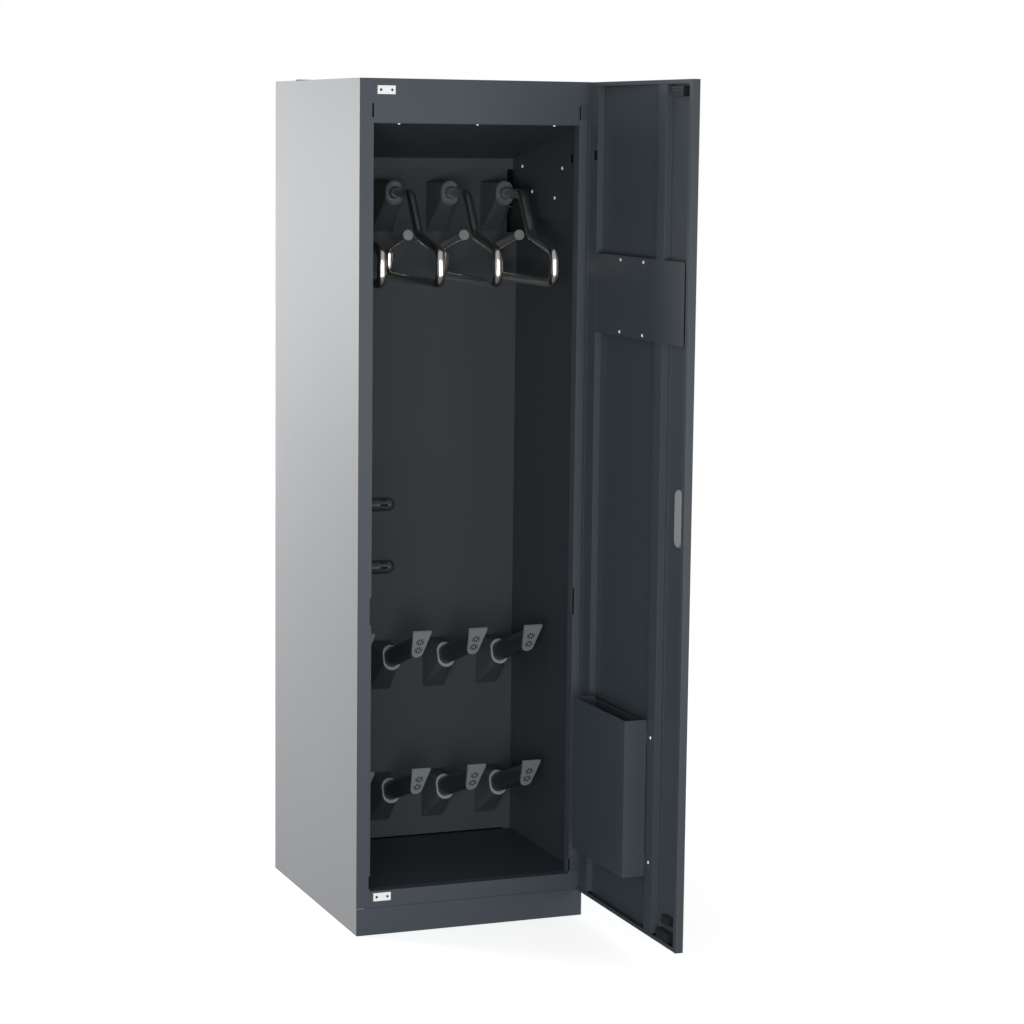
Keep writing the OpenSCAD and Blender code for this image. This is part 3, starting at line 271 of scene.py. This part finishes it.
def finish_of(name, color, roughness, metallic=0.0, peel=900.0, cloud=0.05, bump=0.04,
              specular=0.5, rough_change=0.06):
    """A Principled material with the shared coat pattern."""
    made = bpy.data.materials.new(name)
    made.use_nodes = True
    tree = made.node_tree
    shader = tree.nodes["Principled BSDF"]
    shader.inputs["Metallic"].default_value = metallic
    shader.inputs["Specular IOR Level"].default_value = specular
    pattern = tree.nodes.new("ShaderNodeGroup")
    pattern.node_tree = COAT_PEEL
    pattern.inputs["Color"].default_value = (*color, 1)
    pattern.inputs["Peel Scale"].default_value = peel
    pattern.inputs["Cloud"].default_value = cloud
    pattern.inputs["Roughness"].default_value = roughness
    pattern.inputs["Roughness Change"].default_value = rough_change
    tree.links.new(pattern.outputs["Color"], shader.inputs["Base Color"])
    tree.links.new(pattern.outputs["Roughness"], shader.inputs["Roughness"])
    relief = tree.nodes.new("ShaderNodeBump")
    relief.inputs["Strength"].default_value = bump
    relief.inputs["Distance"].default_value = 0.001
    tree.links.new(pattern.outputs["Height"], relief.inputs["Height"])
    tree.links.new(relief.outputs["Normal"], shader.inputs["Normal"])
    return made


PAINT_OUT = (0.52, 0.522, 0.53)
PAINT_IN = (0.052, 0.064, 0.073)
FINISH = {
    "light_grey_shell": finish_of("light_grey_shell", PAINT_OUT, 0.5, cloud=0.03),
    "anthracite_front": finish_of("anthracite_front", (0.076, 0.092, 0.110), 0.42),
    "anthracite_inner": finish_of("anthracite_inner", PAINT_IN, 0.5),
    "anthracite_door": finish_of("anthracite_door", (0.065, 0.080, 0.093), 0.42),
    "light_trim": finish_of("light_trim", (0.285, 0.32, 0.33), 0.4, peel=1500),
    "handle_grey": finish_of("handle_grey", (0.40, 0.41, 0.42), 0.4, peel=1500),
    "gloss_black_tube": finish_of("gloss_black_tube", (0.86, 0.81, 0.77), 0.22, metallic=1.0,
                                  peel=400, cloud=0.3, bump=0.01, rough_change=0.12),
    "dark_plastic": finish_of("dark_plastic", (0.036, 0.041, 0.046), 0.34, peel=1500),
    "white_fittings": finish_of("white_fittings", (0.93, 0.93, 0.93), 0.35),
    "plated_steel": finish_of("plated_steel", (0.62, 0.62, 0.60), 0.25, metallic=1.0, peel=2500),
    "black_plastic": finish_of("black_plastic", (0.02, 0.021, 0.022), 0.4, peel=1500),
    "galvanised": finish_of("galvanised", (0.5, 0.52, 0.54), 0.4, metallic=0.85, cloud=0.3,
                            peel=300),
    "motor_black": finish_of("motor_black", (0.03, 0.03, 0.032), 0.35),
    "heater_steel": finish_of("heater_steel", (0.32, 0.27, 0.22), 0.35, metallic=1.0, cloud=0.6),
    "filter_foam": finish_of("filter_foam", (0.75, 0.75, 0.72), 0.95, peel=700, bump=0.6),
    "board_housing": finish_of("board_housing", (0.03, 0.10, 0.06), 0.5, peel=1200),
}
# finishes of pieces that differ from the rest of their slot
# the shoe rings' trim made lighter than the heel plates' same trim: painted highlight on the rim
RING_RIM_HIGHLIT = finish_of("ring_rim_highlit", (0.38, 0.41, 0.42), 0.38, peel=1500)
# the ducts' inner anthracite made lighter than the rest of it: painted light on their shaded faces
DUCT_PAINT_LIT = finish_of("duct_paint_lit", (0.080, 0.095, 0.106), 0.42)
# black for the shade inside the heel plates' narrow slots: painted shade
SLOT_SHADE = finish_of("slot_shade", (0.004, 0.004, 0.004), 0.9, peel=2000, specular=0.1)
DUCT_TRIM = finish_of("duct_trim", (0.115, 0.127, 0.134), 0.34, peel=1500)
DARK_SCREW = finish_of("dark_screw", (0.03, 0.03, 0.03), 0.4)
WHITE_HEAD = finish_of("white_head", (0.93, 0.93, 0.93), 0.3)
# painted light: little light reaches these small white pieces, so they glow as if lit
for white, glow in ((WHITE_HEAD, 0.7), (FINISH["white_fittings"], 0.2)):
    shader = white.node_tree.nodes["Principled BSDF"]
    shader.inputs["Emission Color"].default_value = (1, 1, 1, 1)
    shader.inputs["Emission Strength"].default_value = glow
PLUG_GREY = finish_of("plug_grey", (0.36, 0.37, 0.375), 0.35, peel=1500)


def paint_inside(finish, outside, inside):
    """The shell's sheets are pale on the outside and anthracite on the inside."""
    tree = finish.node_tree
    place = tree.nodes.new("ShaderNodeTexCoord")
    split = tree.nodes.new("ShaderNodeSeparateXYZ")
    tree.links.new(place.outputs["Object"], split.inputs[0])
    width = tree.nodes.new("ShaderNodeMath")
    width.operation = "ABSOLUTE"
    tree.links.new(split.outputs["X"], width.inputs[0])
    beside = tree.nodes.new("ShaderNodeMath")
    beside.operation = "GREATER_THAN"
    beside.inputs[1].default_value = RIGHT - SKIN_MARGIN
    tree.links.new(width.outputs[0], beside.inputs[0])
    behind = tree.nodes.new("ShaderNodeMath")
    behind.operation = "GREATER_THAN"
    behind.inputs[1].default_value = REAR - SKIN_MARGIN
    tree.links.new(split.outputs["Y"], behind.inputs[0])
    outer = tree.nodes.new("ShaderNodeMath")
    outer.operation = "MAXIMUM"
    tree.links.new(beside.outputs[0], outer.inputs[0])
    tree.links.new(behind.outputs[0], outer.inputs[1])
    tone = tree.nodes.new("ShaderNodeMix")
    tone.data_type = "RGBA"
    tone.inputs["A"].default_value = (*inside, 1)
    tone.inputs["B"].default_value = (*outside, 1)
    tree.links.new(outer.outputs[0], tone.inputs["Factor"])
    pattern = next(n for n in tree.nodes if n.type == "GROUP")
    tree.links.new(tone.outputs["Result"], pattern.inputs["Color"])


paint_inside(FINISH["light_grey_shell"], PAINT_OUT, PAINT_IN)
for name, node in nodes.items():
    node.data.materials.clear()
    node.data.materials.append(FINISH[slot_of_node[name]])
print("finishes:", len(FINISH))

# %% [markdown]
# ## Rounded edges for folded steel
# Real sheet steel is never knife-sharp: every fold has a small radius, which catches a
# thin line of light. The exact solids have sharp edges, and their meshes are loose
# triangles. So each one is copied, its triangles are joined, its flat parts are made
# whole, and its sharp edges are bevelled. The copy then stands for the solid.

# %% Helpers: joined copies, bevels, finished pieces


def joined_copy(node):
    """A bmesh of a CAD solid with its triangles joined and its flat faces made whole."""
    bm = bmesh.new()
    bm.from_mesh(nodes[node].data)
    bmesh.ops.remove_doubles(bm, verts=bm.verts, dist=2e-6)
    bmesh.ops.dissolve_degenerate(bm, dist=2e-6, edges=bm.edges)
    bmesh.ops.dissolve_limit(bm, angle_limit=math.radians(0.4), verts=bm.verts, edges=bm.edges)
    return bm


def round_edges(bm, width, segments=2, sharper_than=35.0):
    """Bevels every edge that turns by more than an angle."""
    picked = [e for e in bm.edges if len(e.link_faces) == 2
              and e.calc_face_angle(0.0) > math.radians(sharper_than)]
    bmesh.ops.bevel(bm, geom=picked, offset=width, segments=segments, profile=0.5,
                    affect="EDGES", clamp_overlap=True, material=-1)
    return len(picked)


def finished(name, bm, stands_for, finish, body=None, smooth_to=32.0, weighted=True):
    """Makes the object, gives it its finish and seats it on its CAD body."""
    mesh = bpy.data.meshes.new(name)
    for face in bm.faces:
        face.smooth = True
    bm.to_mesh(mesh)
    bm.free()
    mesh.set_sharp_from_angle(angle=math.radians(smooth_to))
    mesh.materials.append(finish)
    made = bpy.data.objects.new(name, mesh)
    bpy.context.scene.collection.objects.link(made)
    if weighted:
        keep_flat = made.modifiers.new("flat_faces_stay_flat", "WEIGHTED_NORMAL")
        keep_flat.keep_sharp = True
    stands_for = [stands_for] if isinstance(stands_for, str) else list(stands_for)
    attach(made, body or body_of_node[stands_for[0]])
    if stands_for:
        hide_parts(*stands_for)
    return made


def soften(node, width):
    """A joined copy of a solid with rounded edges, in the solid's own finish."""
    bm = joined_copy(node)
    count = round_edges(bm, width)
    finished(node + "_shape", bm, node, FINISH[slot_of_node[node]])
    return count


# %% Fold the sheet steel
SOFT = {
    0.5 * MM: ["side_panel_left", "side_panel_right", "rear_panel", "roof_panel", "floor_tray",
               "base_brace", "ceiling_panel", "cover_plate_left", "cover_plate_right",
               "duct_panel", "back_panel", "door_pocket", "door_cover", "catch_plates"],
    0.6 * MM: ["plinth", "stile_left", "stile_right", "fascia", "bottom_rail", "back_ledge",
               "door_pan", "hinge_side_box", "latch_side_hat", "hinge_frame_leaves",
               "hinge_door_leaves"],
    0.8 * MM: ["shoe_tubes", "magnet_catches", "handle_shell", "pull_handle", "power_inlet",
               "cable_gland", "glove_nozzles", "control_bezel", "timer_knob", "start_button"],
    0.3 * MM: ["hinge_pins"],
}
for width, group in SOFT.items():
    for node in group:
        print(node, "edges rounded:", soften(node, width))

# %% [markdown]
# ## Ducts and their trim
# The sheet ducts narrow from the back panel to an oval mouth. A hanger duct ends in a
# dished oval bezel, out of which a short cone guides the hanger's neck. A shoe duct ends
# in an oval ring whose rounded rim catches a narrow pale line; its trim is made lighter
# than the heel plates' as a painted highlight.

# %% Ducts
for node in ("hanger_ducts", "shoe_ducts"):
    bm = joined_copy(node)
    round_edges(bm, 0.8 * MM, 2, 40.0)
    finished(node + "_shape", bm, node, DUCT_PAINT_LIT, smooth_to=28.0)
print("ducts done")

# %% Bezels: one oval drawn out ring by ring into a cone


def drawn_oval(bm, place, rings, sides=48):
    """Carries an upright oval through rings of (radius, half its straight part, depth)."""
    made = bmesh.ops.create_circle(bm, cap_ends=False, radius=1.0, segments=sides)["verts"]
    angles = {v: math.atan2(v.co.y, v.co.x) for v in made}
    for k, (radius, straight, depth) in enumerate(rings):
        if k:
            ring = set(made)
            edges = [e for e in bm.edges if e.verts[0] in ring and e.verts[1] in ring]
            out = bmesh.ops.extrude_edge_only(bm, edges=edges)["geom"]
            fresh = [g for g in out if isinstance(g, bmesh.types.BMVert)]
            angles = {v: next(angles[e.other_vert(v)] for e in v.link_edges
                              if e.other_vert(v) in ring) for v in fresh}
            made = fresh
        for v in made:
            a = angles[v]
            lift = straight * (1 if math.sin(a) > 1e-6 else -1 if math.sin(a) < -1e-6 else 0)
            v.co = place @ Vector((radius * math.cos(a), radius * math.sin(a) + lift, depth))


# from the bore outwards over the edge, across the dished face and up the cone, in mm
BEZEL_RINGS = [
    (11.8, 0, 0.3), (21.6, 7.5, 0.3), (22.0, 7.5, 1.0), (22.0, 7.5, 5.2), (21.3, 7.5, 6.0),
    (20.2, 7.5, 6.0), (19.4, 7.5, 5.4), (18.4, 7.0, 4.2), (16.0, 3.0, 3.8), (15.0, 0, 4.4),
    (14.4, 0, 7.0), (13.4, 0, 12.0), (12.6, 0, 15.6), (12.2, 0, 16.0), (11.8, 0, 15.8),
    (11.8, 0, 0.3)]
bezels = bmesh.new()
for column in COLUMNS:
    stand = (Matrix.Translation((column, BACK - HANGER_DUCT_D, HANGER_Z))
             @ Matrix.Rotation(math.pi / 2, 4, "X"))
    drawn_oval(bezels, stand, [(r * MM, st * MM, d * MM) for r, st, d in BEZEL_RINGS])
bmesh.ops.remove_doubles(bezels, verts=bezels.verts, dist=2e-5)
bmesh.ops.recalc_face_normals(bezels, faces=bezels.faces)
finished("hanger_bezel_shapes", bezels, "hanger_bezels", DUCT_TRIM, smooth_to=50.0)

# %% Shoe rings: softly rounded, so that their rim catches a pale line
bm = joined_copy("shoe_rings")
print("rings, edges rounded:", round_edges(bm, 1.3 * MM, 3, 50.0))
finished("shoe_ring_shapes", bm, "shoe_rings", RING_RIM_HIGHLIT)

# %% [markdown]
# ## Heel plates
# A heel plate is a small flat shield on the end of its tube. Warm air leaves through two
# rosettes of short slots. The slots are so narrow that the shade in them looks black, so
# each of them is filled with a black block that reaches just over the face: painted shade.

# %% Heel plates with dark slots
HEEL_LEAN, HEEL_T = math.radians(32), 6 * MM
TUBE_RISE, TUBE_LEN = math.radians(19), 212 * MM
RING_Y = BACK - SHOE_DUCT_D
ROSETTES, ROSETTE_R, ROSETTE_SLOTS = (10 * MM, -15 * MM), 7.1 * MM, 8
# a black block sunk into each slot stands in for the shade inside it: painted shade
SHADE_BLOCK = Vector((6.6, 2.8, 3.0)) * MM
SHADE_BLOCK_SINK = 1.4 * MM


def heel_place(column, row):
    """Places a drawing plane on the back of a heel plate, as the CAD source does."""
    at = Vector((column, RING_Y, row)) + TUBE_LEN * Vector(
        (0, -math.cos(TUBE_RISE), math.sin(TUBE_RISE)))
    return Matrix.Translation(at) @ Matrix.Rotation(math.pi / 2 + HEEL_LEAN, 4, "X")


shade_blocks = bmesh.new()
for column in COLUMNS:
    for row in ROWS:
        for c in ROSETTES:
            for k in range(ROSETTE_SLOTS):
                made = bmesh.ops.create_cube(shade_blocks, size=1.0)["verts"]
                bmesh.ops.scale(shade_blocks, verts=made, vec=SHADE_BLOCK)
                bmesh.ops.transform(
                    shade_blocks, verts=made,
                    matrix=heel_place(column, row) @ Matrix.Translation((0, c, 0))
                    @ Matrix.Rotation((k + 0.5) * math.tau / ROSETTE_SLOTS, 4, "Z")
                    @ Matrix.Translation((ROSETTE_R, 0, HEEL_T - SHADE_BLOCK_SINK)))
print("heel plates, edges rounded:", soften("heel_plates", 0.7 * MM))
finished("heel_slot_shade_blocks", shade_blocks, [], SLOT_SHADE,
         body=body_of_node["heel_plates"], weighted=False)

# %% [markdown]
# ## Screws
# The catch plates are held by dark screws. Three more screws, painted white, hold the
# front edge of the ceiling. They are one node in the CAD model, so its copy is divided.

# %% Divide the screws
dark_heads, white_heads = joined_copy("plate_screws"), joined_copy("plate_screws")
CEILING_BAND = (1846 * MM, 1852 * MM)
for bm, keep_band in ((dark_heads, False), (white_heads, True)):
    gone = [v for v in bm.verts if (CEILING_BAND[0] < v.co.z < CEILING_BAND[1]) != keep_band]
    bmesh.ops.delete(bm, geom=gone, context="VERTS")
finished("catch_plate_screws", dark_heads, "plate_screws", DARK_SCREW)
ceiling_screws = finished("ceiling_screws", white_heads, [], WHITE_HEAD,
                          body=body_of_node["plate_screws"])
print("screws divided")

# %% [markdown]
# ## Hanger tubes
# Each hanger is one glossy bent tube. Its neck plugs into a duct, comes down at a slant,
# turns into the front shoulder and runs once round the loop to its free end, which a
# round plug closes. A tube is a circle carried along a path. The circle is pushed along
# the straight parts and spun round each bend, as a pipe bender does it. The path lies in
# an upright plane, so it is drawn flat: u runs to the back and v runs up.

# %% Sizes of the hangers
TUBE_R = 11.5 * MM
LOOP_W, LOOP_END_H, SLOPE = 360 * MM, 71 * MM, math.radians(13)
BEND_R, ELBOW_R, NECK_BEND = 24 * MM, 28 * MM, 26 * MM
NECK_FALL = math.radians(57.4796)
NECK_CORNER, LOOP_FALL, FREE_END = 26 * MM, 198.6 * MM, 45 * MM
LOOP_Y = FRONT + 47.5 * MM + LOOP_W / 2
LOOP_LOW = HANGER_Z - LOOP_FALL
PEAK_H = LOOP_END_H + LOOP_W / 2 * math.tan(SLOPE)
ELBOW_U = ((LOOP_FALL - NECK_CORNER * math.tan(NECK_FALL) - PEAK_H)
           / (math.tan(SLOPE) - math.tan(NECK_FALL)))
ELBOW_V = PEAK_H + ELBOW_U * math.tan(SLOPE)
NECK_GRIP = 30 * MM
NECK_START = BACK - HANGER_DUCT_D - BEZEL_T + NECK_GRIP
print("hanger loop from", LOOP_LOW, "to", LOOP_LOW + ELBOW_V)


# %% Helper: a tube that is pushed and bent along a path


class TubeBender:
    """Carries a circle along straights and bends in the plane x = column."""

    def __init__(self, column, u, v, heading, radius, sides=32):
        self.bm = bmesh.new()
        self.x, self.u, self.v, self.heading, self.radius = column, u, v, heading, radius
        made = bmesh.ops.create_circle(self.bm, cap_ends=False, radius=radius, segments=sides)
        stand = Matrix.Translation(self.here()) @ self.facing()
        bmesh.ops.transform(self.bm, matrix=stand, verts=made["verts"])
        self.ring = list(made["verts"])

    def here(self):
        return Vector((self.x, self.u, self.v))

    def ahead(self):
        return Vector((0, math.cos(self.heading), math.sin(self.heading)))

    def facing(self):
        """Turns a circle drawn flat so that the tube's direction goes through it."""
        along = self.ahead()
        side = Vector((1, 0, 0))
        return Matrix((side, along.cross(side), along)).transposed().to_4x4()

    def edges(self):
        ring = set(self.ring)
        return [e for e in self.bm.edges if e.verts[0] in ring and e.verts[1] in ring]

    def cap(self):
        """Closes the tube with a flat end where it now is."""
        bmesh.ops.contextual_create(self.bm, geom=self.edges())

    def push(self, length, steps=1):
        for _ in range(steps):
            made = bmesh.ops.extrude_edge_only(self.bm, edges=self.edges())["geom"]
            self.ring = [g for g in made if isinstance(g, bmesh.types.BMVert)]
            move = self.ahead() * (length / steps)
            bmesh.ops.translate(self.bm, verts=self.ring, vec=move)
            self.u += move.y
            self.v += move.z

    def bend(self, angle, radius, steps=10):
        """Turns left by a positive angle, right by a negative one."""
        left = 1 if angle > 0 else -1
        side = Vector((0, -math.sin(self.heading), math.cos(self.heading))) * left
        centre = self.here() + side * radius
        made = bmesh.ops.spin(self.bm, geom=self.ring + self.edges(), cent=centre,
                              axis=(1, 0, 0), angle=angle, steps=steps, use_merge=False)
        self.ring = [g for g in made["geom_last"] if isinstance(g, bmesh.types.BMVert)]
        self.heading += angle
        arm = self.here() - centre
        arm.rotate(Matrix.Rotation(angle, 3, "X"))
        self.u, self.v = (centre + arm).y, (centre + arm).z

    def close(self):
        bmesh.ops.remove_doubles(self.bm, verts=self.bm.verts, dist=2e-5)


# %% Bend the four hangers
HALF_LOW = LOOP_W / 2 - BEND_R
SHOULDER_TURN = math.pi / 2 - SLOPE
SHOULDER_CUT = BEND_R * math.tan(SHOULDER_TURN / 2)
NECK_CUT = NECK_BEND * math.tan(NECK_FALL / 2)
ELBOW_CUT = ELBOW_R * math.tan((NECK_FALL - SLOPE) / 2)
END_RUN = LOOP_END_H - BEND_R - SHOULDER_CUT
OUTLETS, OUTLET_D, OUTLET_EDGE = 7, 5 * MM, 10 * MM
OUTLET_SPAN = 2 * HALF_LOW - 2 * OUTLET_EDGE


def hanger_tube(column):
    """The whole tube in one run, and the short faces under which its outlets open."""
    tube = TubeBender(column, NECK_START, HANGER_Z, math.pi, TUBE_R)
    tube.cap()
    tube.push(NECK_START - LOOP_Y - NECK_CORNER - NECK_CUT, steps=2)
    tube.bend(NECK_FALL, NECK_BEND, steps=12)
    tube.push((LOOP_FALL - ELBOW_V) / math.sin(NECK_FALL) - NECK_CUT - ELBOW_CUT)
    tube.bend(SLOPE - NECK_FALL, ELBOW_R, steps=12)
    tube.push((LOOP_W / 2 + ELBOW_U) / math.cos(SLOPE) - ELBOW_CUT - SHOULDER_CUT, steps=2)
    tube.bend(SHOULDER_TURN, BEND_R, steps=14)
    tube.push(END_RUN)
    tube.bend(math.pi / 2, BEND_R, steps=14)
    gap = OUTLET_SPAN / (OUTLETS - 1) - OUTLET_D
    tube.push(OUTLET_EDGE - OUTLET_D / 2)
    for k in range(OUTLETS):
        tube.push(OUTLET_D)
        tube.push(gap if k < OUTLETS - 1 else OUTLET_EDGE - OUTLET_D / 2)
    tube.bend(math.pi / 2, BEND_R, steps=14)
    tube.push(END_RUN)
    tube.bend(SHOULDER_TURN, BEND_R, steps=14)
    tube.push((LOOP_W / 2 - FREE_END) / math.cos(SLOPE) - SHOULDER_CUT, steps=2)
    tube.cap()
    tube.close()
    return tube.bm


def open_outlets(bm):
    """Presses a small hole into the underside at each outlet."""
    opened = 0
    for k in range(OUTLETS):
        at = LOOP_Y + OUTLET_SPAN * (k / (OUTLETS - 1) - 0.5)
        under = [f for f in bm.faces
                 if abs(f.calc_center_median().y - at) < 0.4 * MM and f.normal.z < -0.97
                 and f.calc_center_median().z < LOOP_LOW - 10 * MM]
        if under:
            bmesh.ops.inset_region(bm, faces=under, thickness=0.2 * MM, depth=0)
            bmesh.ops.inset_region(bm, faces=under, thickness=0.05 * MM, depth=-1.4 * MM)
            opened += 1
    return opened


for i, column in enumerate(COLUMNS):
    bm = hanger_tube(column)
    bmesh.ops.recalc_face_normals(bm, faces=bm.faces)
    opened = open_outlets(bm)
    name = f"hanger_{i + 1}"
    made = finished(name + "_tube", bm, name, FINISH["gloss_black_tube"], smooth_to=60,
                    weighted=False)
    plug = joined_copy(f"hanger_cap_{i + 1}")
    round_edges(plug, 0.6 * MM, 2)
    finished(f"hanger_cap_{i + 1}_shape", plug, f"hanger_cap_{i + 1}", PLUG_GREY)
    print(made.name, len(made.data.polygons), "faces,", opened, "outlets")

# %% [markdown]
# ## The end of the script

# %% Finish
bpy.context.view_layer.update()
